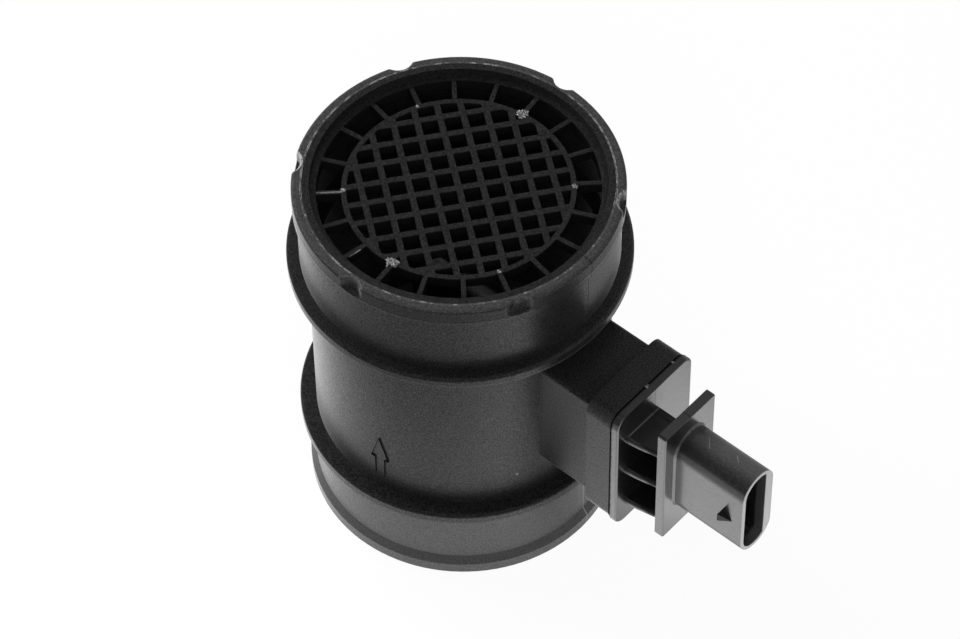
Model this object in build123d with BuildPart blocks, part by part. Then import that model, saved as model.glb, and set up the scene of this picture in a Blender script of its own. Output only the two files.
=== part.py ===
from build123d import *
from math import cos, radians, sin
import os

# A mass airflow sensor: a moulded flow tube with a grille at one end, and a
# plug-in hot-film probe that crosses the bore and carries its own connector.
# Millimetres. The tube's axis is Z, the probe and connector point along +X,
# and the origin is on the axis in the plane of the tube's lower end.

# Flow tube, from the bore outwards
bore_r = 35.3
tube_wall = 2.9
spigot_step = 0.9
bead_rise = 1.4
lower_flange_rise = 3.3
body_step = 2.0
collar_rise = 1.0
upper_flange_rise = 3.2
spigot_bore_flare = 0.9
body_bore_flare = 1.9

# Flow tube, from the lower end upwards
bead_height = 3.9
bead_slope = 2.1
bead_edge = 1.0
spigot_length = 24.8
flange_thickness = 2.9
flange_edge = 0.9
tube_length = 55.3
body_length = 17.7
collar_height = 6.0
collar_edge = 1.0
bore_blend = 5.0

# Rim notches
notch_count = 6
notch_start = 32.0
notch_r = 3.8
notch_depth = 1.6
notch_height = 3.6
notch_floor_edge = 1.0
notch_edge = 0.8

# Probe socket on the side of the tube
probe_height = 30.7
socket_width = 18.6
socket_height = 31.2
socket_corner = 2.3
neck_wall = 2.6
neck_corner = 1.2
boss_projection = 23.2
end_flange_depth = 8.0
end_flange_width = 28.4
end_flange_height = 42.4
end_flange_rise = 0.3
end_flange_corner = 4.0
end_flange_edge = 0.4

# Grille insert
grille_rim_width = 2.0
grille_step = 0.2
grille_ledge = 1.6
grille_recess = 2.55
grille_rim_height = 6.1
grille_depth = 3.0
grille_fit = 0.15
spoke_count = 20
spoke_start = 7.4
spoke_width = 1.2
hub_ring_outer_r = 28.9
hub_ring_width = 1.3
lattice_angle = 53.0
lattice_pitch = 5.87
lattice_bar = 1.6

# Probe: foot in the socket, and finger in the airstream
foot_clearance = 0.3
foot_length = 25.4
foot_corner = 2.0
land_length = 7.5
web_thickness = 3.6
foot_rib = 2.0
foot_pocket_rows = 2
seal_groove_width = 2.6
seal_groove_depth = 1.6
seal_groove_back = 2.4
seal_gap = 0.1
finger_chord = 30.0
finger_thickness = 8.4
finger_reach = 14.0
finger_edge = 3.6
finger_tip_edge = 1.2

# Probe head outside the socket
seat_plate = 2.0
seat_plate_width = 28.5
seat_plate_height = 43.2
seat_plate_corner = 3.6
seat_plate_edge = 0.6
head_gap = 8.75
head_rib = 1.4
head_rib_count = 3
head_rib_pitch = 12.55
head_rib_reach = 10.6
head_rib_shoulder = 3.6
head_rib_tip = 9.5
head_rib_rise = 11.55
head_rib_flare = 0.5
head_rib_edge = 1.0
clip_plate = 2.5
clip_plate_width = 19.0
clip_plate_height = 40.7
clip_plate_drop = 0.55
clip_plate_corner = 0.8
clip_plate_edge = 0.4

# Connector shroud
shroud_width = 11.5
shroud_height = 28.1
shroud_length = 21.55
shroud_rise = 0.55
shroud_wall = 1.0
shroud_key_wall = 2.7
shroud_floor = 2.8
shroud_foot_edge = 0.5
shroud_foot_slope = 45.0
latch_length = 3.0
latch_height = 2.6
latch_rise = 2.1
latch_back = 3.2
latch_drop = 1.55

# Terminals
terminal_count = 5
terminal_pitch = 4.2
terminal_width = 1.5
terminal_thickness = 0.8
terminal_stand = 11.6
terminal_tail = 3.0
terminal_point = 0.25

# Bypass channel in the finger
cover_thickness = 0.8
cover_margin = 1.2
cover_corner = 1.5
cover_gap = 0.15
channel_width = 5.0
channel_floor = 2.0
channel_bend = 4.0
channel_start = 7.0
channel_rise = 4.5
channel_return = 5.5
inlet_height = 4.6
outlet_size = 5.0

# Electronics well in the finger
well_gap = 7.5
well_length = 22.5
well_height = 20.6
well_depth = 5.0
well_corner = 0.5
fit_gap = 0.3
plate_length = 18.2
plate_thickness = 0.8
board_length = 11.7
board_height = 19.0
board_thickness = 0.65
chip_length = 4.5
chip_height = 5.0
chip_thickness = 1.0
capacitor_count = 3
capacitor_pitch = 3.2
capacitor_inset = 3.0
capacitor_length = 2.0
capacitor_height = 1.25
capacitor_thickness = 0.9
tongue_width = 3.0
tongue_thickness = 0.8
tongue_root = 5.0
tongue_root_width = 8.0
tongue_tip_gap = 0.8
tongue_slot = 0.1
sensing_length = 3.0
sensing_width = 2.0
sensing_thickness = 0.4
sensing_setback = 0.3
wire_r = 0.12
wire_span = 2.0
wire_rise = 0.2
wire_inset = 0.3
wire_pitch = 1.8
carrier_wire_count = 3

# Intake-air thermistor in a notch of the leading edge
notch_length = 12.0
notch_rise = 3.3
bead_length = 3.5
bead_body_r = 0.9
bead_chamfer = 0.4
lead_r = 0.25
bead_drop = 1.6

# Radii and heights that follow from the sizes above
tube_r = bore_r + tube_wall
spigot_r = tube_r + spigot_step
bead_r = spigot_r + bead_rise
lower_flange_r = spigot_r + lower_flange_rise
body_r = tube_r + body_step
collar_r = body_r + collar_rise
upper_flange_r = body_r + upper_flange_rise
lower_flange_top = spigot_length + flange_thickness
upper_flange_z = lower_flange_top + tube_length
upper_flange_top = upper_flange_z + flange_thickness
collar_z = upper_flange_top + body_length
tube_height = collar_z + collar_height
rim_seat_z = tube_height - grille_rim_height
grille_inner_r = bore_r - grille_step
grille_mouth_r = grille_inner_r + grille_ledge
grille_rim_r = grille_mouth_r + grille_rim_width
grille_top = tube_height - grille_recess
ring_middle_r = hub_ring_outer_r - hub_ring_width / 2
spoke_outer_r = grille_inner_r + grille_ledge / 2
lattice_count = 2 * int(ring_middle_r / lattice_pitch) + 1

# Stations along X
probe_z = lower_flange_top + probe_height
boss_end = tube_r + boss_projection
end_flange_x = boss_end - end_flange_depth
foot_width = socket_width - 2 * foot_clearance
foot_height = socket_height - 2 * foot_clearance
foot_x = boss_end - foot_length
land_x = boss_end - land_length
seal_x = boss_end - seal_groove_back - seal_groove_width
seat_plate_front = boss_end + seat_plate
clip_plate_x = seat_plate_front + head_gap
clip_plate_front = clip_plate_x + clip_plate
mouth_x = clip_plate_front + shroud_length
shroud_z = probe_z + shroud_rise
finger_tip = -finger_reach
leading_z = probe_z - finger_chord / 2
terminal_end = clip_plate_front + shroud_floor + terminal_stand

# Places inside the finger; a depth named _d is measured from the mid-plane towards -Y
finger_d = finger_thickness / 2
recess_d = finger_d - cover_thickness
plate_d = finger_d - well_depth + plate_thickness
board_d = plate_d + board_thickness
tongue_d = plate_d + tongue_thickness
channel_depth = recess_d + finger_d - channel_floor
leg_in_x = -channel_start
leg_out_x = leg_in_x + 2 * channel_bend
leg_low = probe_z - channel_return
leg_high = probe_z + channel_rise
leg_top = leg_high + channel_bend + channel_width / 2
channel_middle_x = (leg_in_x + leg_out_x) / 2
channel_middle_z = (leg_low + leg_top) / 2
channel_cover_length = 2 * channel_bend + channel_width + 2 * cover_margin
channel_cover_height = leg_top - leg_low + 2 * cover_margin
tongue_x = leg_out_x - channel_width / 2 + tongue_tip_gap
well_x = leg_out_x + channel_width / 2 + well_gap
well_middle_x = well_x + well_length / 2
well_end = well_x + well_length
board_x = well_x + fit_gap + plate_length - board_length
terminal_x = well_end - terminal_tail
notch_x = well_middle_x
thermistor_z = leading_z + bead_drop


def terminal_z(index):
    """Height of one terminal in the row of the connector."""
    return shroud_z + (index - (terminal_count - 1) / 2) * terminal_pitch


def side_plane(distance):
    """A plane parallel to the finger's covered side, which faces -Y."""
    return Plane.XZ.offset(distance)


def rounded_box(x, width, height, corner, length, centre_z, mode=Mode.ADD):
    """Extrude a rounded rectangle along +X from the station x."""
    with BuildSketch(Plane.YZ.offset(x)) as section:
        with Locations((0, centre_z)):
            RectangleRounded(width, height, corner)
    extrude(section.sketch, amount=length, mode=mode)


# The cutter for one scooped notch in the rim
with BuildPart() as scoop:
    with BuildSketch(Plane.XY.offset(tube_height - notch_height)):
        with Locations((collar_r + notch_r - notch_depth, 0)):
            Circle(notch_r)
    extrude(amount=notch_height)
    fillet(scoop.faces().sort_by(Axis.Z)[0].edges(), notch_floor_edge)


def on_collar_wall(edge):
    """Tell whether an edge runs on the collar's outside, below the rim."""
    middle = edge @ 0.5
    return middle.Z < tube_height and abs(Vector(middle.X, middle.Y).length - collar_r) < grille_fit


# Flow tube with flanges, notched collar and probe socket, one moulding
with BuildPart() as tube_housing:
    with BuildSketch(Plane.XZ) as outline:
        with BuildLine():
            Polyline(
                (0, 0),
                (bead_r, 0),
                (bead_r, bead_height),
                (spigot_r, bead_height + bead_slope),
                (spigot_r, spigot_length),
                (lower_flange_r, spigot_length),
                (lower_flange_r, lower_flange_top),
                (tube_r, lower_flange_top),
                (tube_r, upper_flange_z),
                (upper_flange_r, upper_flange_z),
                (upper_flange_r, upper_flange_top),
                (body_r, upper_flange_top),
                (body_r, collar_z),
                (collar_r, collar_z),
                (collar_r, tube_height),
                (0, tube_height),
                close=True,
            )
        make_face()
        for flange in ((lower_flange_r, lower_flange_top), (upper_flange_r, upper_flange_top)):
            fillet(outline.vertices().sort_by_distance(flange)[0], flange_edge)
        fillet(outline.vertices().sort_by_distance((bead_r, 0))[0], bead_edge)
    revolve(axis=Axis.Z)

    # Scooped notches in the rim, then one soft edge round rim and notches.
    with PolarLocations(0, notch_count, notch_start):
        add(scoop.part, mode=Mode.SUBTRACT)
    fillet(tube_housing.edges(Select.LAST).filter_by(on_collar_wall), notch_edge)
    rim_edges = tube_housing.faces().sort_by(Axis.Z)[-1].edges()
    fillet(rim_edges, collar_edge)

    # Probe socket: a square neck with a thicker flange at its end.
    neck_width = socket_width + 2 * neck_wall
    neck_height = socket_height + 2 * neck_wall
    rounded_box(0, neck_width, neck_height, neck_corner, boss_end, probe_z)
    end_flange_z = probe_z + end_flange_rise
    rounded_box(
        end_flange_x, end_flange_width, end_flange_height, end_flange_corner, end_flange_depth, end_flange_z
    )
    fillet(tube_housing.faces().sort_by(Axis.X)[-1].edges(), end_flange_edge)

    # Bore with flared ends and the counterbore that seats the grille.
    with BuildSketch(Plane.XZ):
        with BuildLine():
            Polyline(
                (0, 0),
                (bore_r + spigot_bore_flare, 0),
                (bore_r + spigot_bore_flare, spigot_length),
                (bore_r, spigot_length + bore_blend),
                (bore_r, upper_flange_z),
                (bore_r + body_bore_flare, upper_flange_z + bore_blend),
                (bore_r + body_bore_flare, rim_seat_z),
                (grille_rim_r + grille_fit, rim_seat_z),
                (grille_rim_r + grille_fit, tube_height),
                (0, tube_height),
                close=True,
            )
        make_face()
    revolve(axis=Axis.Z, mode=Mode.SUBTRACT)
    rounded_box(0, socket_width, socket_height, socket_corner, boss_end, probe_z, Mode.SUBTRACT)

# Grille insert: rim, spokes, ring and square lattice, one moulding
with BuildPart() as grille:
    with BuildSketch(Plane.XZ):
        with BuildLine():
            Polyline(
                (grille_inner_r, rim_seat_z),
                (grille_rim_r, rim_seat_z),
                (grille_rim_r, tube_height),
                (grille_mouth_r, tube_height),
                (grille_mouth_r, grille_top),
                (grille_inner_r, grille_top),
                close=True,
            )
        make_face()
    revolve(axis=Axis.Z)
    with BuildSketch(Plane.XY.offset(grille_top)):
        with PolarLocations((ring_middle_r + spoke_outer_r) / 2, spoke_count, spoke_start):
            Rectangle(spoke_outer_r - ring_middle_r, spoke_width)
        Circle(hub_ring_outer_r)
        Circle(hub_ring_outer_r - hub_ring_width, mode=Mode.SUBTRACT)
    extrude(amount=-grille_depth)
    lattice_x = (cos(radians(lattice_angle)), sin(radians(lattice_angle)), 0)
    lattice_plane = Plane(origin=(0, 0, grille_top), x_dir=lattice_x, z_dir=(0, 0, 1))
    with BuildSketch(lattice_plane):
        with GridLocations(lattice_pitch, lattice_pitch, lattice_count, 1):
            Rectangle(lattice_bar, 2 * ring_middle_r)
        with GridLocations(lattice_pitch, lattice_pitch, 1, lattice_count):
            Rectangle(2 * ring_middle_r, lattice_bar)
        Circle(ring_middle_r, mode=Mode.INTERSECT)
    extrude(amount=-grille_depth)



# One rib of the probe's neck, with a soft upper edge
with BuildPart() as neck_rib:
    with BuildSketch():
        with BuildLine():
            Polyline(
                (seat_plate_front, web_thickness / 2),
                (seat_plate_front, -head_rib_reach - head_rib_flare),
                (seat_plate_front + head_rib_shoulder, -head_rib_reach),
                (clip_plate_x, -head_rib_tip),
                (clip_plate_x, web_thickness / 2),
                close=True,
            )
        make_face()
    extrude(amount=head_rib)
    fillet(neck_rib.faces().sort_by(Axis.Z)[-1].edges().sort_by(Axis.Y)[:2], head_rib_edge)

# Latch wedge on the shroud's flat side: it rises away from the mouth and is highest at the top
with BuildPart() as latch:
    latch_x = mouth_x - latch_back - latch_length
    latch_z = shroud_z - latch_drop
    with BuildSketch(side_plane(shroud_width / 2)):
        with BuildLine():
            Polyline(
                (latch_x, latch_z),
                (latch_x + latch_length, latch_z),
                (latch_x, latch_z + latch_height),
                close=True,
            )
        make_face()
    extrude(amount=latch_rise)
    with BuildSketch(Plane.XY.offset(latch_z)):
        with BuildLine():
            Polyline(
                (latch_x, -shroud_width / 2),
                (latch_x, -shroud_width / 2 - latch_rise),
                (latch_x + latch_length, -shroud_width / 2),
                close=True,
            )
        make_face()
    extrude(amount=latch_height, mode=Mode.INTERSECT)

# Probe body: finger, foot, seat plate, ribbed neck, clip plate and shroud, one moulding
with BuildPart() as sensor_body:
    # Foot: sealing land at the plate, webbed and ribbed further in.
    rounded_box(foot_x, foot_width, foot_height, foot_corner, foot_length, probe_z)
    pocket_length = land_x - foot_x - foot_rib
    pocket_height = (foot_height - (foot_pocket_rows + 1) * foot_rib) / foot_pocket_rows
    pocket_x = foot_x + foot_rib + pocket_length / 2
    for side in (-1, 1):
        with BuildSketch(side_plane(side * foot_width / 2)):
            with Locations((pocket_x, probe_z)):
                with GridLocations(pocket_length, pocket_height + foot_rib, 1, foot_pocket_rows):
                    Rectangle(pocket_length, pocket_height)
        extrude(amount=-side * (foot_width - web_thickness) / 2, mode=Mode.SUBTRACT)
    with BuildSketch(Plane.YZ.offset(seal_x)):
        with Locations((0, probe_z)):
            RectangleRounded(foot_width, foot_height, foot_corner)
            RectangleRounded(
                foot_width - 2 * seal_groove_depth,
                foot_height - 2 * seal_groove_depth,
                foot_corner,
                mode=Mode.SUBTRACT,
            )
    extrude(amount=seal_groove_width, mode=Mode.SUBTRACT)

    # Finger with rounded leading and trailing edges.
    rounded_box(finger_tip, finger_thickness, finger_chord, finger_edge, foot_x - finger_tip, probe_z)
    chamfer(sensor_body.faces().sort_by(Axis.X)[0].edges(), finger_tip_edge)

    # Seat plate that closes the socket.
    rounded_box(
        boss_end, seat_plate_width, seat_plate_height, seat_plate_corner, seat_plate, probe_z
    )
    fillet(sensor_body.faces().sort_by(Axis.X)[-1].edges(), seat_plate_edge)

    # Ribbed neck: a web that carries the terminals, and three ribs on one side.
    rib_top_z = probe_z + head_rib_rise
    neck_bottom = rib_top_z - (head_rib_count - 1) * head_rib_pitch - head_rib / 2
    neck_top = rib_top_z + head_rib / 2
    with BuildSketch(side_plane(-web_thickness / 2)):
        with Locations((seat_plate_front + head_gap / 2, (neck_top + neck_bottom) / 2)):
            Rectangle(head_gap, neck_top - neck_bottom)
    extrude(amount=web_thickness)
    for step in range(head_rib_count):
        with Locations((0, 0, neck_bottom + step * head_rib_pitch)):
            add(neck_rib.part)

    # Clip plate and connector shroud.
    clip_plate_z = probe_z - clip_plate_drop
    with BuildSketch(Plane.YZ.offset(clip_plate_x)):
        with Locations((0, clip_plate_z)):
            RectangleRounded(clip_plate_width, clip_plate_height, clip_plate_corner)
    extrude(amount=clip_plate)
    fillet(sensor_body.faces().sort_by(Axis.X)[-1].edges(), clip_plate_edge)
    with BuildSketch(Plane.YZ.offset(clip_plate_front)):
        with Locations((0, shroud_z)):
            SlotOverall(shroud_height, shroud_width, rotation=90)
    extrude(amount=shroud_length)
    with BuildSketch(Plane.YZ.offset(clip_plate_front)):
        with Locations((0, shroud_z)):
            foot_height_over = shroud_height + 2 * shroud_foot_edge
            SlotOverall(foot_height_over, shroud_width + 2 * shroud_foot_edge, rotation=90)
    extrude(amount=shroud_foot_edge, taper=shroud_foot_slope)
    with BuildSketch(Plane.YZ.offset(mouth_x)):
        with Locations((0, shroud_z)):
            SlotOverall(shroud_height - 2 * shroud_wall, shroud_width - 2 * shroud_wall, rotation=90)
        with Locations((shroud_width / 2, shroud_z)):
            Rectangle(2 * shroud_key_wall, shroud_height, mode=Mode.SUBTRACT)
    extrude(amount=-(shroud_length - shroud_floor), mode=Mode.SUBTRACT)

    add(latch.part)

    # Passages that the terminals fill.
    for index in range(terminal_count):
        with BuildSketch(Plane.YZ.offset(well_end)):
            with Locations((0, terminal_z(index))):
                Rectangle(terminal_thickness, terminal_width)
        extrude(amount=clip_plate_front + shroud_floor - well_end, mode=Mode.SUBTRACT)

    # Bypass channel: a U from the leading edge that leaves through the far side.
    with BuildSketch(side_plane(recess_d)):
        with BuildLine():
            Line((leg_in_x, leg_low), (leg_in_x, leg_high))
            ThreePointArc(
                (leg_in_x, leg_high),
                (leg_in_x + channel_bend, leg_high + channel_bend),
                (leg_out_x, leg_high),
            )
            Line((leg_out_x, leg_high), (leg_out_x, leg_low))
        trace(line_width=channel_width)
    extrude(amount=-channel_depth, mode=Mode.SUBTRACT)
    with BuildSketch(Plane.XY.offset(leading_z)):
        with Locations((leg_in_x, channel_depth / 2 - recess_d)):
            Rectangle(channel_width, inlet_height)
    extrude(amount=leg_low - leading_z, mode=Mode.SUBTRACT)
    with BuildSketch(side_plane(-finger_d)):
        with Locations((leg_out_x, leg_low + outlet_size / 2)):
            Rectangle(outlet_size, outlet_size)
    extrude(amount=channel_floor, mode=Mode.SUBTRACT)

    # Electronics well, and the slot through which the chip carrier reaches the channel.
    with BuildSketch(side_plane(finger_d)):
        with Locations((well_middle_x, probe_z)):
            RectangleRounded(well_length, well_height, well_corner)
    extrude(amount=-well_depth, mode=Mode.SUBTRACT)
    with BuildSketch(side_plane(plate_d - tongue_slot)):
        with Locations((well_x - well_gap / 2, probe_z)):
            Rectangle(well_gap + channel_width, tongue_width + 2 * tongue_slot)
    extrude(amount=tongue_thickness + 2 * tongue_slot, mode=Mode.SUBTRACT)

    # Rebates that hold the two covers flush with the finger's side.
    with BuildSketch(side_plane(finger_d)):
        with Locations((well_middle_x, probe_z)):
            RectangleRounded(well_length + 2 * cover_margin, well_height + 2 * cover_margin, cover_corner)
        with Locations((channel_middle_x, channel_middle_z)):
            RectangleRounded(channel_cover_length, channel_cover_height, cover_corner)
    extrude(amount=-cover_thickness, mode=Mode.SUBTRACT)

    # Thermistor notch in the leading edge.
    with BuildSketch(side_plane(finger_d)):
        with Locations((notch_x, leading_z)):
            Rectangle(notch_length, 2 * notch_rise)
    extrude(amount=-finger_thickness, mode=Mode.SUBTRACT)

# Seal round the probe's foot
with BuildPart() as seal:
    with BuildSketch(Plane.YZ.offset(seal_x + seal_gap)):
        with Locations((0, probe_z)):
            RectangleRounded(
                socket_width - 2 * seal_gap, socket_height - 2 * seal_gap, socket_corner - seal_gap
            )
            RectangleRounded(
                foot_width - 2 * seal_groove_depth + 2 * seal_gap,
                foot_height - 2 * seal_groove_depth + 2 * seal_gap,
                foot_corner + seal_gap,
                mode=Mode.SUBTRACT,
            )
    extrude(amount=seal_groove_width - 2 * seal_gap)

# Covers in the finger's side
with BuildPart() as well_cover:
    with BuildSketch(side_plane(recess_d)):
        with Locations((well_middle_x, probe_z)):
            RectangleRounded(
                well_length + 2 * (cover_margin - cover_gap),
                well_height + 2 * (cover_margin - cover_gap),
                cover_corner - cover_gap,
            )
    extrude(amount=cover_thickness)

with BuildPart() as bypass_cover:
    with BuildSketch(side_plane(recess_d)):
        with Locations((channel_middle_x, channel_middle_z)):
            RectangleRounded(
                channel_cover_length - 2 * cover_gap,
                channel_cover_height - 2 * cover_gap,
                cover_corner - cover_gap,
            )
    extrude(amount=cover_thickness)

# Electronics: metal base plate, ceramic board and the parts on it
with BuildPart() as heat_plate:
    with BuildSketch(side_plane(finger_d - well_depth)):
        with Locations((well_x + fit_gap + plate_length / 2, probe_z)):
            RectangleRounded(plate_length, well_height - 2 * fit_gap, well_corner)
    extrude(amount=plate_thickness)

with BuildPart() as board:
    with BuildSketch(side_plane(plate_d)):
        with Locations((board_x + board_length / 2, probe_z)):
            Rectangle(board_length, board_height)
    extrude(amount=board_thickness)

with BuildPart() as chip:
    with BuildSketch(side_plane(board_d)):
        with Locations((board_x + board_length / 2 - chip_length / 2, probe_z)):
            Rectangle(chip_length, chip_height)
    extrude(amount=chip_thickness)

# Chip carrier that reaches into the bypass channel, and the hot-film chip on it
with BuildPart() as carrier:
    with BuildSketch(side_plane(plate_d)):
        with Locations((tongue_x, probe_z)):
            Rectangle(well_x + tongue_root - tongue_x, tongue_width, align=(Align.MIN, Align.CENTER))
        with Locations((well_x + fit_gap, probe_z)):
            Rectangle(tongue_root - fit_gap, tongue_root_width, align=(Align.MIN, Align.CENTER))
    extrude(amount=tongue_thickness)

with BuildPart() as hot_film:
    with BuildSketch(side_plane(tongue_d)):
        with Locations((tongue_x + sensing_setback, probe_z)):
            Rectangle(sensing_length, sensing_width, align=(Align.MIN, Align.CENTER))
    extrude(amount=sensing_thickness)

# Bond wires: carrier to board, and board to terminals
carrier_pad_x = board_x + wire_inset
terminal_pad_x = board_x + board_length - wire_inset
wire_ends = []
for index in range(carrier_wire_count):
    wire_z = probe_z + (index - (carrier_wire_count - 1) / 2) * wire_pitch
    wire_ends.append((carrier_pad_x, board_d, carrier_pad_x - wire_span, tongue_d, wire_z))
for index in range(terminal_count):
    far_x = terminal_pad_x + wire_span
    wire_ends.append((terminal_pad_x, board_d, far_x, terminal_thickness / 2, terminal_z(index)))
with BuildPart() as wires:
    for near_x, near_d, far_x, far_d, wire_z in wire_ends:
        top_d = max(near_d, far_d)
        with BuildLine(Plane.XY.offset(wire_z)) as loop:
            Polyline((near_x, -near_d), (near_x, -top_d - wire_rise))
            ThreePointArc(
                (near_x, -top_d - wire_rise),
                ((near_x + far_x) / 2, -top_d - wire_rise - wire_span / 2),
                (far_x, -top_d - wire_rise),
            )
            Line((far_x, -top_d - wire_rise), (far_x, -far_d))
        with BuildSketch(Plane(origin=(near_x, -near_d, wire_z), z_dir=(0, -1, 0))):
            Circle(wire_r)
        sweep()

# Intake-air thermistor: glass bead between two leads
with BuildPart() as bead:
    with BuildSketch(Plane.YZ.offset(notch_x - bead_length / 2)):
        with Locations((0, thermistor_z)):
            Circle(bead_body_r)
    extrude(amount=bead_length)
    chamfer(bead.edges(), bead_chamfer)

with BuildPart() as leads:
    lead_length = (notch_length - bead_length) / 2
    for start_x in (notch_x - notch_length / 2, notch_x + bead_length / 2):
        with BuildSketch(Plane.YZ.offset(start_x)):
            with Locations((0, thermistor_z)):
                Circle(lead_r)
        extrude(amount=lead_length)

# Parts that stand once
single_parts = {
    "housing_tube": tube_housing,
    "grille_insert": grille,
    "probe_body": sensor_body,
    "probe_seal": seal,
    "electronics_cover": well_cover,
    "channel_cover": bypass_cover,
    "base_plate": heat_plate,
    "circuit_board": board,
    "signal_chip": chip,
    "chip_carrier": carrier,
    "sensing_chip": hot_film,
    "bond_wires": wires,
    "thermistor_bead": bead,
    "thermistor_leads": leads,
}
os.makedirs("parts", exist_ok=True)
for name, built in single_parts.items():
    built.part.label = name
    export_step(built.part, f"parts/{name}.step")

# Connector terminals, one blade each, with pointed ends
for index in range(terminal_count):
    with BuildPart() as terminal:
        with BuildSketch(Plane.YZ.offset(terminal_x)):
            with Locations((0, terminal_z(index))):
                Rectangle(terminal_thickness, terminal_width)
        extrude(amount=terminal_end - terminal_x)
        chamfer(terminal.faces().sort_by(Axis.X)[-1].edges(), terminal_point)
    name = f"terminal_{index + 1}"
    terminal.part.label = name
    export_step(terminal.part, f"parts/{name}.step")

# Chip capacitors in a row beside the signal chip
for index in range(capacitor_count):
    capacitor_z = probe_z + (index - (capacitor_count - 1) / 2) * capacitor_pitch
    with BuildPart() as capacitor:
        with BuildSketch(side_plane(board_d)):
            with Locations((board_x + board_length - capacitor_inset, capacitor_z)):
                Rectangle(capacitor_length, capacitor_height)
        extrude(amount=capacitor_thickness)
    name = f"capacitor_{index + 1}"
    capacitor.part.label = name
    export_step(capacitor.part, f"parts/{name}.step")
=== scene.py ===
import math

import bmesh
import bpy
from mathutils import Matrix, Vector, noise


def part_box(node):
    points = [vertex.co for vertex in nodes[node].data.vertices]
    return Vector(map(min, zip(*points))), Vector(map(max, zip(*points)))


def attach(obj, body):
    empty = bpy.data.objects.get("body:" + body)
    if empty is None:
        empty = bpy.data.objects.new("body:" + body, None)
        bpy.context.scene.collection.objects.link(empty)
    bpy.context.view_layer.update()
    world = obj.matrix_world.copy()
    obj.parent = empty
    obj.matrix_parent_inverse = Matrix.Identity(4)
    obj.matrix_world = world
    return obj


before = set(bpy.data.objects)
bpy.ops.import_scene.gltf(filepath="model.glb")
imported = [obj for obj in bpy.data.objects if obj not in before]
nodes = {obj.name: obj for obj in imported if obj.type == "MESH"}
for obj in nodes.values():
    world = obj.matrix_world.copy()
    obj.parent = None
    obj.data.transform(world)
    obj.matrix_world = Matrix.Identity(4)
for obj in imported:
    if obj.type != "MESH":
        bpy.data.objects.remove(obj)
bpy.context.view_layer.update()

# %% [markdown]
# # A mass airflow sensor in black plastic
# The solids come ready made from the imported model: the flow tube, the pressed-in
# grille, the probe with its connector, and the electronics inside. This script
# dresses them. It adds the fine things that moulding and handling leave, gives
# each piece a finish, and lights it as a small product is lit on a white table.

MM = 0.001
scene = bpy.context.scene

# %% [markdown]
# ## Camera
# The photograph looks down on the sensor from the connector's side with a long
# lens. The angles were found by fitting circles of the tube and edges of the
# probe to a pinhole camera. The camera aims at a point on the axis, then slides a
# little across its own picture, which keeps the lens shift at zero.

# %% Camera
PHOTO_WIDTH = 960
FOCAL_PIXELS = 4200
SENSOR_WIDTH = 36
AZIMUTH = math.radians(41.98)
ELEVATION = math.radians(51.69)
ROLL = math.radians(-1.0)
DISTANCE = 1070.16 * MM
AIM = Vector((0, 0, 55)) * MM
SLIDE = Vector((-4.63, 0.10)) * MM

back = Vector((
    math.sin(AZIMUTH) * math.cos(ELEVATION),
    -math.cos(AZIMUTH) * math.cos(ELEVATION),
    math.sin(ELEVATION),
))
level = Vector((math.cos(AZIMUTH), math.sin(AZIMUTH), 0))
upright = back.cross(level)
right = math.cos(ROLL) * level + math.sin(ROLL) * upright
up = back.cross(right)
camera_data = bpy.data.cameras.new("camera")
camera_data.sensor_width = SENSOR_WIDTH
camera_data.lens = FOCAL_PIXELS / PHOTO_WIDTH * SENSOR_WIDTH
camera = bpy.data.objects.new("camera", camera_data)
scene.collection.objects.link(camera)
place = AIM + back * DISTANCE - right * SLIDE.x - up * SLIDE.y
camera.matrix_world = Matrix.Translation(place) @ Matrix((right, up, back)).transposed().to_4x4()
scene.camera = camera
print("camera at", [round(value, 3) for value in place], "lens", round(camera_data.lens, 1))

# %% [markdown]
# ## Node maths as plain expressions
# A procedural finish is a sum of small masks. Wrapping a socket in a class that
# knows the arithmetic signs lets each mask be written as a formula, and the
# Math nodes appear by themselves. Wiring them one by one would give the same
# tree, but nobody could read it.

# %% A socket with arithmetic
class Value:
    """A number that varies over the surface: wraps one output socket of a node tree."""

    def __init__(self, finish, socket):
        self.finish = finish
        self.socket = socket

    def maths(self, operation, *others):
        return self.finish.node(
            "ShaderNodeMath", {"operation": operation}, {0: self, **dict(enumerate(others, 1))}
        )

    def __add__(self, other):
        return self.maths("ADD", other)

    __radd__ = __add__

    def __mul__(self, other):
        return self.maths("MULTIPLY", other)

    __rmul__ = __mul__

    def __sub__(self, other):
        return self.maths("SUBTRACT", other)

    def __rsub__(self, other):
        return (self * -1) + other

    def __truediv__(self, other):
        return self.maths("DIVIDE", other)

    def __abs__(self):
        return self.maths("ABSOLUTE")

    def clamp(self):
        return self.finish.node("ShaderNodeClamp", {}, {"Value": self})

    def step(self, low, high):
        """0 below low, 1 above high, smooth between; low may be the larger one."""
        return self.finish.node(
            "ShaderNodeMapRange",
            {"interpolation_type": "SMOOTHSTEP"},
            {"Value": self, "From Min": low, "From Max": high},
        )

    def band(self, centre, half, soft):
        """1 within half of centre, fading to 0 over soft."""
        return abs(self - centre).step(half + soft, half)


def radius(x, y):
    return (x * x + y * y).maths("SQRT")


# %% [markdown]
# ## One builder for every node
# A material or a world is a tree of nodes. One method adds any node from its
# type, its settings and the values or links of its sockets, so that a finish
# type, its settings and the values or links of its sockets, so that a finish
# reads like a recipe. Patterns are placed by Object coordinates, which need no
# unwrapping and stay with the piece wherever it goes.

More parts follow.
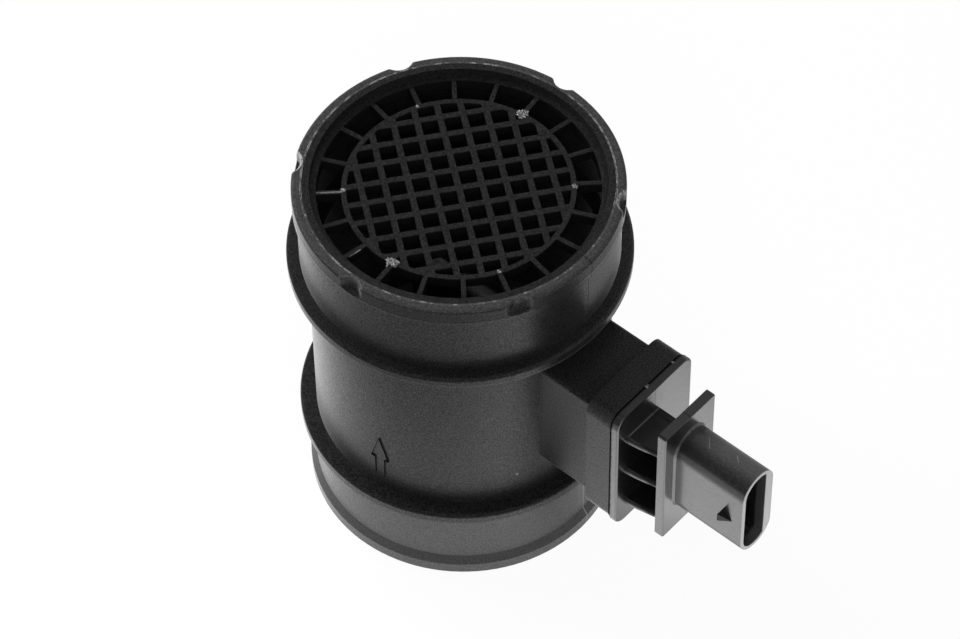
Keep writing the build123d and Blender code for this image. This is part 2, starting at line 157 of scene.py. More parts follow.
# %% Builders for node trees
class Nodes:
    """The node tree of a material or a world, under construction."""

    def __init__(self, owner):
        owner.use_nodes = True
        self.owner = owner
        self.tree = owner.node_tree
        self.tree.nodes.clear()

    def node(self, kind, settings, inputs, output=0):
        """Adds a node and returns one of its outputs."""
        made = self.tree.nodes.new(kind)
        for key, setting in settings.items():
            setattr(made, key, setting)
        for key, given in inputs.items():
            if isinstance(given, Value):
                self.tree.links.new(given.socket, made.inputs[key])
            else:
                made.inputs[key].default_value = given
        return Value(self, made.outputs[output])

    def close(self, shader, kind="ShaderNodeOutputMaterial"):
        """Wires a shader to the tree's end."""
        end = self.tree.nodes.new(kind)
        self.tree.links.new(shader.socket, end.inputs["Surface"])
        return self.owner


class Finish(Nodes):
    """A material whose patterns are measured on the piece."""

    def __init__(self, name):
        super().__init__(bpy.data.materials.new(name))
        self.place = self.node("ShaderNodeTexCoord", {}, {}, output="Object")

    def axes(self):
        """X, Y and Z in millimetres."""
        parts = self.node("ShaderNodeSeparateXYZ", {}, {0: self.place})
        outputs = parts.socket.node.outputs
        return [Value(self, outputs[index]) * (1 / MM) for index in range(3)]

    def grain(self, size_mm, detail=2.0, rough=0.5, offset=(0, 0, 0), stretch=(1, 1, 1)):
        """Noise from 0 to 1 whose lumps are about size_mm across."""
        moved = self.node(
            "ShaderNodeMapping", {}, {"Vector": self.place, "Location": offset, "Scale": stretch}
        )
        return self.node(
            "ShaderNodeTexNoise",
            {},
            {"Vector": moved, "Scale": 1 / (size_mm * MM), "Detail": detail, "Roughness": rough},
        )

    def blend(self, factor, first, second):
        """A colour between two colours."""
        return self.node(
            "ShaderNodeMix", {"data_type": "RGBA"}, {0: factor, 6: first, 7: second}, output=2
        )

    def surface(self, colour, roughness, height, height_mm, constants=None):
        """Principled shader with its bump, wired to the output."""
        bump = self.node("ShaderNodeBump", {}, {"Height": height, "Distance": height_mm * MM})
        inputs = {
            "Base Color": colour, "Roughness": roughness, "Normal": bump, **(constants or {})
        }
        return self.close(self.node("ShaderNodeBsdfPrincipled", {}, inputs))


# %% [markdown]
# ## White table
# The sensor stands on a white table that fills the picture. The camera sees the
# paint almost at full white, with enough of its true shading mixed in to keep a
# soft shadow. Black plastic gets its grey sheen from what it mirrors, so the
# table's paint also glows in reflections.

# %% Table
TABLE_SIDE = 3.0

table_mesh = bpy.data.meshes.new("table")
shape = bmesh.new()
bmesh.ops.create_grid(shape, x_segments=1, y_segments=1, size=TABLE_SIDE / 2)
shape.to_mesh(table_mesh)
shape.free()
table = bpy.data.objects.new("table", table_mesh)
scene.collection.objects.link(table)
print("table", TABLE_SIDE, "m wide")

# %% [markdown]
# ## What the plastic mirrors
# The glow is white near the sensor and greyer far off, and under the connector's
# head, which shades it. Inside the tube's foot there is none, so the bore stays
# dark. Stronger lamps could brighten the table too, but they would wash out the
# black. Light Path tells the camera's rays from the mirrored ones instead.

# %% Table paint
WHITE = (1, 1, 1, 1)
PAINT = (0.95, 0.95, 0.95, 1)
FAR_GREY = (0.3, 0.3, 0.3, 1)
SHADOW_SHARE = 0.06
# the round foot of the tube, in millimetres
FOOT_R = 40.0
FOOT_SOFT = 6.0
# where the glow fades to grey; it reaches further along X than along Y
FALL_FROM = 30.0
FALL_TO = 110.0
FALL_STRETCH = 0.25
# the shade under the connector's head, narrower along Y
SHADE_X = 72.0
SHADE_FROM = 14.0
SHADE_TO = 48.0
SHADE_NARROW = 2.5
SHADE_DEPTH = 0.8

paint = Finish("table_white")
table_x, table_y = paint.axes()[:2]
fall = radius(table_x * FALL_STRETCH, table_y).step(FALL_FROM, FALL_TO)
under_x = table_x - SHADE_X
from_head = (under_x * under_x + table_y * table_y * SHADE_NARROW).maths("SQRT")
shade = from_head.step(SHADE_TO, SHADE_FROM) * SHADE_DEPTH
outside = radius(table_x, table_y).step(FOOT_R - FOOT_SOFT, FOOT_R)
seen = paint.node("ShaderNodeLightPath", {}, {}, output="Is Camera Ray")
mirrored = paint.node("ShaderNodeLightPath", {}, {}, output="Is Glossy Ray")
passed = paint.node("ShaderNodeLightPath", {}, {}, output="Is Transmission Ray")
share = (seen * (1 - SHADOW_SHARE) + mirrored + passed).clamp() * outside
glow = paint.blend(seen, paint.blend((fall + shade).clamp(), WHITE, FAR_GREY), WHITE)
plain = paint.node("ShaderNodeBsdfDiffuse", {}, {"Color": PAINT})
bright = paint.node("ShaderNodeEmission", {}, {"Color": glow, "Strength": 1.0})
mixed = paint.node("ShaderNodeMixShader", {}, {0: share, 1: plain, 2: bright})
table_mesh.materials.append(paint.close(mixed))
print("paint has", len(paint.tree.nodes), "nodes")

# %% [markdown]
# ## Soft light and a dim room
# Two wide lamps light the sensor, one from the camera's side and one from the
# left. They are hidden from reflections, where they would show as bright
# squares. The room is dim, and dimmer in front than behind, because the rounded
# edges mirror its front. The camera sees it white.

# %% Lamps
def lamp(name, position, size, power):
    """A square soft lamp that points at the sensor."""
    data = bpy.data.lights.new(name, "AREA")
    data.size = size
    data.energy = power
    made = bpy.data.objects.new(name, data)
    scene.collection.objects.link(made)
    made.visible_glossy = False
    spot = Vector(position)
    facing = (spot - AIM).to_track_quat("Z", "Y")
    made.matrix_world = Matrix.Translation(spot) @ facing.to_matrix().to_4x4()


lamp("camera_side", (0.75, -0.85, 1.0), 0.9, 13)
lamp("left_side", (-1.0, -0.1, 0.6), 0.8, 16)

# %% Room
ROOM_FRONT = 0.06
ROOM_BACK = 0.26

room = Nodes(bpy.data.worlds.new("room"))
way = room.node("ShaderNodeTexCoord", {}, {}, output="Generated")
depth = room.node("ShaderNodeSeparateXYZ", {}, {0: way}, output="Y")
dimness = room.node(
    "ShaderNodeMapRange",
    {"interpolation_type": "SMOOTHSTEP"},
    {"Value": depth, "From Min": -0.8, "From Max": 0.5, "To Min": ROOM_FRONT, "To Max": ROOM_BACK},
)
dim = room.node("ShaderNodeBackground", {}, {"Color": dimness})
white = room.node("ShaderNodeBackground", {}, {"Color": WHITE})
sight = room.node("ShaderNodeLightPath", {}, {}, output="Is Camera Ray")
choice = room.node("ShaderNodeMixShader", {}, {0: sight, 1: dim, 2: white})
scene.world = room.close(choice, kind="ShaderNodeOutputWorld")
scene.view_settings.view_transform = "Standard"
print("room from", ROOM_FRONT, "in front to", ROOM_BACK, "behind")

# %% [markdown]
# ## Black moulded plastic
# All the outside pieces are glass-filled plastic, moulded in one colour. What
# tells them apart is the skin: the tube copies a fine spark-eroded mould and
# looks matt, the probe copies a smoother one and mirrors more of the table.
# So one recipe makes them all, from a tone, a roughness and a grain, and each
# piece adds its own marks: places that are paler, darker or raised. Bump alone
# would leave the grain flat where no lamp glances along it. So the grain also
# steers a clear coat, which shines on the peaks and is missing in the hollows.

# %% Recipe for moulded plastic
DUST_TONE = 0.16
PALE_TONE = 0.42
LOW_SHARE = 0.1
PEAK_SHARE = 2.2
DARK_SHARE = 0.3
COAT_START = 0.4


def grey(level):
    return (level, level, level * 1.03, 1)


def moulded(name, tone, roughness, grain_mm, grain_depth_mm, gloss, constants, marks=None):
    """Black plastic; marks(finish, x, y, z) gives masks for pale, dark and raised places."""
    finish = Finish(name)
    x, y, z = finish.axes()
    fine = finish.grain(grain_mm, detail=3.0, rough=0.6)
    fine = fine + finish.grain(grain_mm * 2.2, offset=(1, 5, 3))
    peaks = finish.grain(grain_mm * 0.8, rough=0.7, offset=(4, 2, 6)).step(0.36, 0.66)
    broad = finish.grain(7.0)
    dust = finish.grain(0.45, detail=1.0, offset=(3, 1, 2)).step(0.77, 0.83)
    pale, dark, raised = marks(finish, x, y, z) if marks else (0.0, 0.0, 0.0)
    varied = finish.blend(
        broad * 0.2 + peaks * 0.8, grey(tone * LOW_SHARE), grey(tone * PEAK_SHARE)
    )
    dusty = finish.blend(dust * 0.25, varied, grey(DUST_TONE))
    marked = finish.blend(pale, dusty, grey(PALE_TONE))
    colour = finish.blend(dark, marked, grey(tone * DARK_SHARE))
    skin = roughness + fine * 0.1 + broad * 0.06 + pale * 0.2 + dark * 0.25
    coat = (peaks * (gloss * 2) + (gloss - COAT_START)).clamp() * (1 - dark)
    return finish.surface(
        colour, skin.clamp(), fine + raised, grain_depth_mm, {"Coat Weight": coat, **constants}
    )


def dress(node_name, material):
    """Gives one CAD node its finish."""
    mesh = nodes[node_name].data
    mesh.materials.clear()
    mesh.materials.append(material)
    print(node_name, "gets", material.name)


# %% [markdown]
# ## Marks on the tube
# The two halves of the mould meet in a thin line down the connector's side. The
# seam round the pressed-in grille shows pale and ragged. The edges of the two
# side notches are worn white and carry a painted highlight as well. The rim is
# painted paler in a coarse grain, and the flanges' lips and a small ridge down
# the spigot carry a painted highlight. A painted picture could hold all this, but
# would have to travel with the part. So each mark is a mask: 1 on the mark, 0 off
# it, made from the place in millimetres.

# %% Masks for seams, tears and strokes
RIM_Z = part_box("housing_tube")[1][2] / MM
SEAM_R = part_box("grille_insert")[1][0] / MM
SEAM_X = 61.4
SEAM_TOP_Z = 79.9


def stroke(x, y, start, end, half):
    """1 along a straight line between two points of the plan view."""
    run = Vector(end) - Vector(start)
    along = (((x - start[0]) * run.x + (y - start[1]) * run.y) / run.length_squared).clamp()
    off_x = x - start[0] - along * run.x
    off_y = y - start[1] - along * run.y
    return radius(off_x, off_y).step(half * 1.6, half * 0.6)


def ragged(finish, size_mm, cut=0.5, offset=(0, 0, 0)):
    """A torn pattern that breaks up a mark."""
    return finish.grain(size_mm, detail=3.0, rough=0.7, offset=offset).step(cut - 0.06, cut + 0.06)


def seam_ring(finish, x, y, z):
    """The ragged pale joint between the grille's rim and the collar."""
    ring = radius(x, y).band(SEAM_R + 0.05, 0.16, 0.12) * z.step(RIM_Z - 0.3, RIM_Z - 0.1)
    torn_bits = ragged(finish, 1.3, 0.52) * ragged(finish, 9.0, 0.45, (2, 2, 0))
    return ring * (torn_bits * 0.55 + 0.14)


# %% Wear and painted highlight on the notches
NOTCH_AXIS_R = 43.4
NOTCH_R = 3.8
NOTCH_DEPTH = 3.0
COLLAR_R = 41.2
# two notches worn white and painted with a highlight, two barely
WORN_AND_HIGHLIT_NOTCHES = [  # angle and strength: two well worn, two barely
    (212.0, 0.9), (32.0, 0.8), (272.0, 0.08), (332.0, 0.08),
]


def notch_wear_and_highlight(finish, x, y, z):
    """Worn white and painted with a highlight along the top and side edges of the notches, not on
    their floor.
    """
    wear_and_highlight = 0.0
    for degrees, strength in WORN_AND_HIGHLIT_NOTCHES:
        turn = math.radians(degrees)
        reach = radius(x - NOTCH_AXIS_R * math.cos(turn), y - NOTCH_AXIS_R * math.sin(turn))
        wear_and_highlight = wear_and_highlight + reach.band(NOTCH_R + 0.25, 0.25, 0.3) * strength
    top_edge = z.step(RIM_Z - 1.3, RIM_Z - 0.5)
    side_edges = radius(x, y).step(COLLAR_R - 0.85, COLLAR_R - 0.35)
    height = z.step(RIM_Z - NOTCH_DEPTH - 0.4, RIM_Z - NOTCH_DEPTH + 0.4)
    broken = ragged(finish, 0.9, 0.46) * 0.75 + 0.1
    return wear_and_highlight * height * (top_edge + side_edges).clamp() * broken


# %% The tube's marks and finish
PARTING_Y = 1.8
SPECK = (33.8, -17.7, 36.7)
UPPER_FLANGE_Z = 83.0
LOWER_FLANGE_Z = 24.8
FLANGE_LIP_R = 42.0
UPPER_BODY_Z = 85.8
SOCKET_X = 52.8
NECK_FOOT_X = 37.1
NECK_SIDE_Y = -11.0
SEAM_SIDE_Y = -13.6


def plate_seam(finish, x, y, z):
    """The dark joint between the socket's end flange and the seat plate, in short dashes."""
    on_top = z.step(SEAM_TOP_Z - 0.9, SEAM_TOP_Z - 0.4)
    on_side = y.step(SEAM_SIDE_Y, SEAM_SIDE_Y - 0.3)
    dashes = ragged(finish, 1.6, 0.5, (0, 3, 7)) * 0.6 + 0.4
    return x.band(SEAM_X, 0.2, 0.15) * (on_top + on_side).clamp() * dashes


def tube_pale(finish, x, y, z):
    """Places where the tube is greyer or paler than its skin, painted highlights among them."""
    coarse = finish.grain(0.6, detail=3.0, rough=0.8, offset=(5, 0, 1)).step(0.35, 0.75)
    spigot = z.step(LOWER_FLANGE_Z, LOWER_FLANGE_Z - 0.6) * z.step(-1.0, 2.0)
    socket = x.step(SOCKET_X, SOCKET_X + 0.8) * (1 - z.step(SEAM_TOP_Z - 0.9, SEAM_TOP_Z - 0.3))
    # the rim is painted paler in a coarse grain
    rim = z.step(RIM_Z - 0.7, RIM_Z - 0.2) * (coarse * 0.6 + 0.25)
    # painted highlight on the flanges' top outer edges, broken by a coarse grain
    lip_highlights = z.band(UPPER_FLANGE_Z + 0.15, 0.15, 0.2) + z.band(LOWER_FLANGE_Z + 0.15, 0.15, 0.2)
    lip_highlights = lip_highlights * radius(x, y).step(FLANGE_LIP_R, FLANGE_LIP_R + 0.4) * (coarse * 0.7 + 0.3)
    # painted highlight on a small ridge down the spigot, by the parting line
    ridge_highlight = y.band(2.4, 0.12, 0.1) * x.step(36.0, 37.0)
    ridge_highlight = ridge_highlight * z.step(LOWER_FLANGE_Z - 0.2, LOWER_FLANGE_Z - 0.6)
    speck = radius(radius(x - SPECK[0], y - SPECK[1]), z - SPECK[2]).step(0.4, 0.25)
    pale = seam_ring(finish, x, y, z) + notch_wear_and_highlight(finish, x, y, z) + rim * 0.16 + lip_highlights * 0.14
    return pale + spigot * 0.11 + socket * 0.035 + ridge_highlight * 0.5 + speck * 0.6


def tube_marks(finish, x, y, z):
    parting = y.band(PARTING_Y, 0.09, 0.1) * x.step(37.0, 38.0)
    parting = parting * z.step(UPPER_BODY_Z, UPPER_BODY_Z + 0.4)
    neck_line = x.band(NECK_FOOT_X, 0.05, 0.07) * y.step(NECK_SIDE_Y, NECK_SIDE_Y - 0.6)
    neck_line = neck_line * z.step(40.0, 40.4) * z.step(77.0, 76.6)
    line = (parting + neck_line + plate_seam(finish, x, y, z)).clamp()
    collar = radius(x, y).step(COLLAR_R - 0.7, COLLAR_R - 0.2)
    ridge = z.band(RIM_Z - 4.2, 0.1, 0.5) * collar
    shadow = z.step(RIM_Z - 4.6, RIM_Z - 3.8) * z.step(RIM_Z - 0.8, RIM_Z - 1.4) * collar
    dark = (line * 0.95 + shadow * 0.35).clamp()
    return tube_pale(finish, x, y, z).clamp(), dark, line * -0.4 + ridge * 0.6


dress("housing_tube", moulded(
    "tube_black", 0.011, 0.22, 0.42, 0.07, 0.4,
    {"IOR": 1.4, "Coat Roughness": 0.3, "Sheen Weight": 0.7, "Sheen Roughness": 0.22}, tube_marks
))

# %% [markdown]
# ## Grille
# Plastic entered the grille's mould at six points of the inner ring. Where the
# gates were broken off, two left large torn scars and four left small pale dots.
# Those stand up, and are made as pieces further down. The two spokes that
# handling has scratched white are only coloured, as a scratch is too shallow to
# be seen in the shape.

# %% Grille finish
GRILLE_Z = 107.05
LATTICE_R = 35.4
SCRATCHES = [  # start, end, half width and strength
    ((-25.2, -24.0), (-20.9, -19.8), 0.22, 0.45),
    ((-5.5, -33.6), (-5.0, -30.4), 0.16, 1.0),
]


def grille_marks(finish, x, y, z):
    top = z.step(GRILLE_Z - 0.6, GRILLE_Z - 0.1)
    pale = seam_ring(finish, x, y, z)
    for start, end, half, strength in SCRATCHES:
        worn = ragged(finish, 0.9, 0.42, (1, 4, 2)) * 0.7 + 0.15
        pale = pale + stroke(x, y, start, end, half) * top * worn * strength
    # painted shade on the lattice's sides below its top
    deep = z.step(GRILLE_Z - 0.1, GRILLE_Z - 0.5) * radius(x, y).step(LATTICE_R, LATTICE_R - 0.4)
    return pale.clamp(), deep * 0.9, 0.0


dress("grille_insert", moulded(
    "grille_black", 0.012, 0.38, 0.4, 0.08, 0.25, {"IOR": 1.4}, grille_marks
))

# %% [markdown]
# ## Probe and connector
# The probe's skin is smoother, so its flat sides mirror the table. The rounded
# top of the connector is scuffed to a coarse grain, painted pale as a highlight
# too. Its lip carries a painted highlight all round and the inside wall near the
# mouth a painted reflection, and a thin parting line runs down the middle of both
# plates. The gap between the plates is darkened by a mask, because the pale table
# would otherwise light it from below more than the real one does. The latch, the
# shroud's upper end by the plates and the plates' tops get painted shade, and the
# fillet along the web's edge a painted highlight.

# %% Marks on the shroud
SHROUD_X = 74.65
SHROUD_TOP_Z = 73.0
SHROUD_MID_Z = 58.95
SHROUD_R = 5.75
MOUTH_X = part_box("probe_body")[1][0] / MM
LATCH_X = 91.5
LATCH_HALF = 1.7
SHROUD_SCRATCHES = [((79.2, 1.8), (81.7, -1.2)), ((88.2, 1.4), (89.6, 0.2))]


def on_shroud(x):
    return x.step(SHROUD_X + 0.5, SHROUD_X + 2.0)


def shroud_marks(finish, x, y, z):
    """Pale and dark masks of the shroud, with painted highlights and shade, and the scuffed grain
    on its round top.
    """
    # coarse scuffed grain on the round top, painted pale as a highlight too
    scuff_and_highlight = finish.grain(0.6, detail=3.0, rough=0.7, offset=(2, 2, 2)).step(0.42, 0.75)
    scuff_and_highlight = scuff_and_highlight * z.step(SHROUD_TOP_Z - 2.2, SHROUD_TOP_Z + 0.8) * on_shroud(x)
    beyond = abs(z - SHROUD_MID_Z) - (SHROUD_TOP_Z - SHROUD_MID_Z - SHROUD_R)
    inside = radius(y, beyond.maths("MAXIMUM", 0.0)).step(SHROUD_R - 0.5, SHROUD_R - 0.8)
    # painted reflection on the inside wall near the mouth
    inner_wall_reflection = inside * x.step(MOUTH_X - 3.0, MOUTH_X - 2.5)
    # painted highlight on the lip round the mouth
    mouth_highlight = x.step(MOUTH_X - 0.25, MOUTH_X - 0.1)
    pale = scuff_and_highlight * 0.14 + inner_wall_reflection * 0.1 + mouth_highlight * 0.8
    for start, end in SHROUD_SCRATCHES:
        broken = ragged(finish, 0.7, 0.45) * 0.4 + 0.1
        flat_top = z.step(SHROUD_TOP_Z - 1.5, SHROUD_TOP_Z - 1.0)
        pale = pale + stroke(x, y, start, end, 0.1) * flat_top * broken
    # painted shade on the latch
    latch_shade = x.band(LATCH_X, LATCH_HALF, 0.15) * y.step(-SHROUD_R - 0.02, -SHROUD_R - 0.1)
    # painted shade on the shroud's upper end by the plates
    shoulder_shade = x.step(86.0, 76.0) * z.step(66.0, 71.0) * on_shroud(x)
    return pale, latch_shade * 0.9 + shoulder_shade * 0.45, scuff_and_highlight


# %% Marks on the plates, and the probe's finish
SEAT_FACE_X = 63.4
NECK_TOP_Z = 70.65
CLIP_X = 73.4
CLIP_TOP_Z = 78.1
GAP_X = 67.8
GAP_HALF = 4.1
GAP_SIDE_Y = 10.2


def plate_marks(finish, x, y, z):
    """Pale and dark masks of the plates and the neck between them, with a painted highlight and
    painted shade, and their parting line.
    """
    parting = y.band(0.0, 0.05, 0.06) * x.step(SEAT_FACE_X - 0.2, SEAT_FACE_X - 0.05)
    parting = parting * (1 - on_shroud(x))
    patch = x.band(66.2, 1.3, 0.15) * y.band(-0.9, 1.0, 0.15)
    patch = patch * z.step(NECK_TOP_Z - 0.45, NECK_TOP_Z - 0.15)
    patch = patch * z.step(NECK_TOP_Z + 0.75, NECK_TOP_Z + 0.35)
    # painted highlight on the fillet where the web's top meets the seat plate
    web_fillet_highlight = z.band(NECK_TOP_Z, 0.3, 0.1) * x.band(SEAT_FACE_X + 0.2, 0.12, 0.1)
    web_fillet_highlight = web_fillet_highlight * y.band(-3.9, 5.8, 0.3)
    gap = x.band(GAP_X, GAP_HALF, 0.15) * abs(y).step(GAP_SIDE_Y, GAP_SIDE_Y - 0.4)
    # painted shade on the seat plate's top
    seat_top_shade = z.step(SEAM_TOP_Z - 0.4, SEAM_TOP_Z - 0.1)
    # painted shade on the clip plate's top
    clip_top_shade = x.band(CLIP_X, 1.3, 0.1) * z.step(CLIP_TOP_Z - 0.2, CLIP_TOP_Z)
    dark = parting * 0.7 + plate_seam(finish, x, y, z) * 0.9
    dark = dark + gap * 0.85 + seat_top_shade * 0.7 + clip_top_shade * 0.5
    return patch * 0.08 + web_fillet_highlight * 0.2, dark, parting


def probe_marks(finish, x, y, z):
    shroud_pale, shroud_dark, scuff_and_highlight = shroud_marks(finish, x, y, z)
    plate_pale, plate_dark, parting = plate_marks(finish, x, y, z)
    pale = (shroud_pale + plate_pale).clamp()
    return pale, (shroud_dark + plate_dark).clamp(), scuff_and_highlight * 2.0 - parting


probe_black = moulded(
    "probe_black", 0.008, 0.25, 0.5, 0.05, 1.1,
    {"IOR": 1.7, "Coat IOR": 2.5, "Coat Roughness": 0.2}, probe_marks
)
dress("probe_body", probe_black)

for hidden in ("electronics_cover", "channel_cover"):
    dress(hidden, moulded(f"{hidden}_black", 0.012, 0.42, 0.35, 0.03, 0.2, {"IOR": 1.45}))

# %% [markdown]
# ## Inside the probe
# These pieces are out of sight, and still get the finish they have on the bench:
# tinned brass blades, a rolled aluminium plate, a white ceramic board, a rubber
# seal, and a glass bead between bright leads. Plain colours would do for most of
# them. Noise stretched along the rolling or drawing direction costs one node
# more and makes metal look like metal.

# %% Metals
def metal(name, colour, roughness, brush, brush_mm):
    """Bare metal with fine lines along one axis."""
    finish = Finish(name)
    lines = finish.grain(brush_mm, detail=2.0, stretch=brush)
    spots = finish.grain(2.5)
    tarnish = [component * 0.72 for component in colour]
    return finish.surface(
        finish.blend(spots.step(0.55, 0.8) * 0.6, (*colour, 1), (*tarnish, 1)),
        roughness + lines * 0.15, lines, 0.004, {"Metallic": 1.0},
    )


tin = metal("tinned_brass", (0.74, 0.69, 0.56), 0.22, (0.1, 1, 1), 0.15)
for number in range(1, 6):
    dress(f"terminal_{number}", tin)
dress("base_plate", metal("rolled_aluminium", (0.78, 0.79, 0.8), 0.3, (0.08, 1, 1), 0.2))
dress("bond_wires", metal("aluminium_wire", (0.86, 0.86, 0.87), 0.18, (1, 1, 1), 0.1))
dress("thermistor_leads", metal("drawn_wire", (0.66, 0.66, 0.67), 0.25, (0.1, 1, 1), 0.1))


# %% Ceramics, chips, rubber and glass
def fired(name, colour, roughness, speck_mm, constants=None):
    """Ceramic, resin or rubber with a faint speckle."""
    finish = Finish(name)
    speck = finish.grain(speck_mm, detail=3.0)
    deep = [component * 0.7 for component in colour]
    return finish.surface(
        finish.blend(speck.step(0.5, 0.8), (*colour, 1), (*deep, 1)),
        roughness + speck * 0.12, speck, 0.01, constants,
    )


dress("circuit_board", fired("white_ceramic", (0.82, 0.82, 0.79), 0.5, 0.4))
dress("signal_chip", fired("chip_resin", (0.03, 0.03, 0.032), 0.45, 0.25))
capacitor_body = fired("capacitor_ceramic", (0.45, 0.33, 0.22), 0.35, 0.3)
for number in range(1, 4):
    dress(f"capacitor_{number}", capacitor_body)
dress("chip_carrier", fired("carrier_resin", (0.05, 0.046, 0.04), 0.45, 0.3))
dress("sensing_chip", fired("polished_silicon", (0.12, 0.13, 0.17), 0.12, 0.8, {"IOR": 2.2}))
dress("probe_seal", fired("seal_rubber", (0.018, 0.018, 0.018), 0.6, 0.5))
dress("thermistor_bead", fired("bead_glass", (0.06, 0.12, 0.09), 0.08, 0.9, {"Coat Weight": 1.0}))

# %% [markdown]
# ## Flow arrow
# A hollow arrow stands raised on the tube and shows which way the air goes. A
# curve with a bevel could draw it too, but its corners would come out round. So
# it is drawn flat as one face, inset to leave a thin outline, thickened, and
# then bent round the tube: the distance along the face becomes an angle.

# %% Helpers for added pieces
def thicken(bm, run):
    """Pushes a copy of all faces along run, with walls between."""
    grown = bmesh.ops.extrude_face_region(bm, geom=bm.faces[:])["geom"]
    moved = [item for item in grown if isinstance(item, bmesh.types.BMVert)]
    bmesh.ops.translate(bm, vec=run, verts=moved)


def add_piece(name, bm, material):
    """Turns a bmesh into a finished piece that rides with the sensor."""
    bmesh.ops.remove_doubles(bm, verts=bm.verts, dist=1e-6)
    bmesh.ops.recalc_face_normals(bm, faces=bm.faces)
    mesh = bpy.data.meshes.new(name)
    bm.to_mesh(mesh)
    bm.free()
    mesh.materials.append(material)
    mesh.shade_smooth()
    mesh.set_sharp_from_angle(angle=math.radians(40))
    piece = bpy.data.objects.new(name, mesh)
    scene.collection.objects.link(piece)
    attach(piece, "root")
    print(name, len(mesh.polygons), "faces")


# %% Flow arrow
TUBE_R = 38.2
ARROW_ANGLE = math.radians(-81.8)
ARROW_TIP_Z = 47.6
ARROW_FOOT_Z = 32.6
HEAD_HALF = 2.6
HEAD_LENGTH = 8.4
SHAFT_HALF = 1.35
LINE_WIDTH = 0.5
LINE_RISE = 0.38
SUNK = 0.15

# darker than the tube: painted shade on the arrow's raised outline
arrow_black = moulded("arrow_black", 0.006, 0.5, 0.42, 0.05, 0.0, {"IOR": 1.3})
bm = bmesh.new()
barb_z = ARROW_TIP_Z - HEAD_LENGTH
half_outline = [
    (0, ARROW_TIP_Z), (HEAD_HALF, barb_z), (SHAFT_HALF, barb_z), (SHAFT_HALF, ARROW_FOOT_Z),
]
outline = half_outline + [(-across, height) for across, height in reversed(half_outline[1:])]
corners = [bm.verts.new((across, height, 0)) for across, height in outline]
whole = bm.faces.new(corners)
bmesh.ops.inset_individual(bm, faces=[whole], thickness=LINE_WIDTH, use_even_offset=True)
foot_top = ARROW_FOOT_Z + 2 * LINE_WIDTH
foot = [
    face for face in bm.faces
    if face is not whole and max(vertex.co.y for vertex in face.verts) < foot_top
]
bmesh.ops.delete(bm, geom=[whole, *foot], context="FACES")
thicken(bm, (0, 0, LINE_RISE + SUNK))
bmesh.ops.subdivide_edges(bm, edges=bm.edges, cuts=2, use_grid_fill=True)
for vertex in bm.verts:
    across, height, rise = vertex.co
    angle = ARROW_ANGLE + across / TUBE_R
    reach = TUBE_R - SUNK + rise
    vertex.co = Vector((reach * math.cos(angle), reach * math.sin(angle), height)) * MM
add_piece("flow_arrow", bm, arrow_black)

# %% [markdown]
# ## Torn gates and flash
# The scars on the grille's ring and the crumbs of flash on the probe's seam are
# small lumps of torn plastic. A displacement texture could roughen them when the
# picture is made, but then the piece's own mesh would stay smooth. So a ball is
# pressed flat and its points are pushed about by noise, no two lumps alike.

# %% Torn plastic
TORN_TONE = 0.45
torn = Finish("torn_plastic")
crumbs = torn.grain(0.35, detail=4.0, rough=0.8)
torn_colour = torn.blend(crumbs.step(0.38, 0.66), grey(0.02), grey(TORN_TONE))
torn_white = torn.surface(torn_colour, 0.5 + crumbs * 0.3, crumbs, 0.06)


def torn_lump(bm, centre, size, seed, roughness):
    """A flattened ball of the given half sizes in millimetres, roughened by noise."""
    made = bmesh.ops.create_icosphere(bm, subdivisions=4, radius=1.0)
    for vertex in made["verts"]:
        jolt = noise.fractal(vertex.co * 2.2 + Vector((seed, 0, 0)), 0.9, 2.0, 4)
        swell = vertex.co * (1 + roughness * jolt)
        vertex.co = (Vector(centre) + swell * Vector(size)) * MM


# %% Gate scars on the grille
RING_R = 28.4
GATES = [  # angle and half width: the two wide ones are torn, the others are dots
    (152.6, 0.5), (98.0, 1.25), (41.4, 0.75), (331.5, 0.62), (277.0, 1.35), (222.3, 0.65),
]
TORN = 0.9
SMOOTH = 0.35

bm = bmesh.new()
for index, (degrees, size) in enumerate(GATES):
    turn = math.radians(degrees)
    centre = (RING_R * math.cos(turn), RING_R * math.sin(turn), GRILLE_Z - 0.05)
    lump = (size, size * 0.8, 0.22 + size * 0.2)
    torn_lump(bm, centre, lump, index * 7.0, TORN if size > 1 else SMOOTH)
add_piece("gate_scars", bm, torn_white)

# %% Flash on the probe's seam
FLASH = [(-0.8, 0.55), (9.0, 0.3)]  # place across and half width

bm = bmesh.new()
for index, (across, size) in enumerate(FLASH):
    torn_lump(bm, (SEAM_X, across, SEAM_TOP_Z), (0.4, size, 0.3), 50 + index * 9.0, TORN)
add_piece("seam_flash", bm, torn_white)

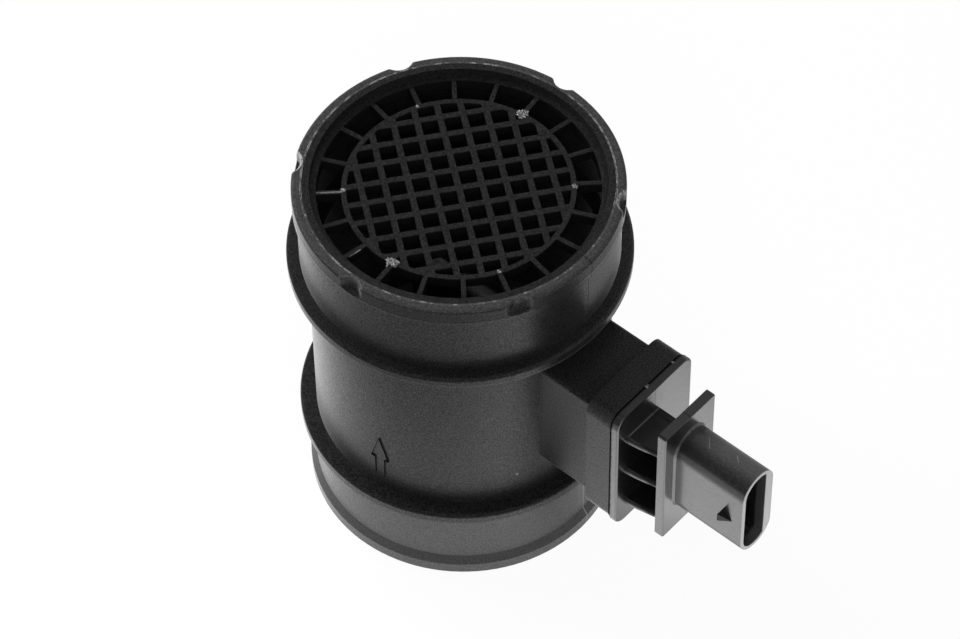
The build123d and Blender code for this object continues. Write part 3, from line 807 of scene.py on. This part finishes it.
# %% [markdown]
# ## Bead in the seam
# Socket and seat plate meet in a groove, and a thin dark bead lies in it. A bent
# cord could stand for it. A rectangle with rounded corners, inset to a ring and
# thickened, follows the plates exactly and takes few faces.

# %% Dark bead in the seam
SEAM_HALF = 14.2
SEAM_FOOT_Z = 37.2
SEAM_CORNER = 3.9
SEAM_PROUD = 0.02
SEAM_WIDTH = 0.45
SEAM_OVERLAP = 0.05
CORNER_STEPS = 8

bead_half = SEAM_HALF + SEAM_PROUD
bead_low = SEAM_FOOT_Z - SEAM_PROUD
bead_high = SEAM_TOP_Z + SEAM_PROUD
sides = [
    (bead_half, bead_high), (-bead_half, bead_high), (-bead_half, bead_low), (bead_half, bead_low),
]
bm = bmesh.new()
bm.faces.new([bm.verts.new((SEAM_X - SEAM_WIDTH, y, z)) for y, z in sides])
bmesh.ops.bevel(
    bm, geom=bm.verts[:], offset=SEAM_CORNER + SEAM_PROUD, offset_type="OFFSET",
    affect="VERTICES", segments=CORNER_STEPS, profile=0.5, material=-1,
)
whole, = bm.faces
bmesh.ops.inset_individual(bm, faces=[whole], thickness=SEAM_WIDTH, use_even_offset=True)
bmesh.ops.delete(bm, geom=[whole], context="FACES")
thicken(bm, (SEAM_WIDTH + SEAM_OVERLAP, 0, 0))
bmesh.ops.scale(bm, vec=(MM, MM, MM), verts=bm.verts)
bead_black = moulded("bead_black", 0.002, 0.8, 0.3, 0.1, 0.0, {"IOR": 1.15})
add_piece("seam_bead", bm, bead_black)

# %% [markdown]
# ## Ejector dot
# A pin pushed the probe out of its mould and left a low round dot on the neck's
# top. A flattened ball sunk half way into the neck gives its soft edge.

# %% Ejector dot on the neck's top
DOT_PLACE = (67.7, 0.3, NECK_TOP_Z)
DOT_R = 0.45
DOT_RISE = 0.2

bm = bmesh.new()
bmesh.ops.create_uvsphere(bm, u_segments=24, v_segments=12, radius=1.0)
bmesh.ops.scale(bm, vec=(DOT_R, DOT_R, DOT_RISE), verts=bm.verts)
bmesh.ops.translate(bm, vec=DOT_PLACE, verts=bm.verts)
bmesh.ops.scale(bm, vec=(MM, MM, MM), verts=bm.verts)
add_piece("ejector_dot", bm, probe_black)
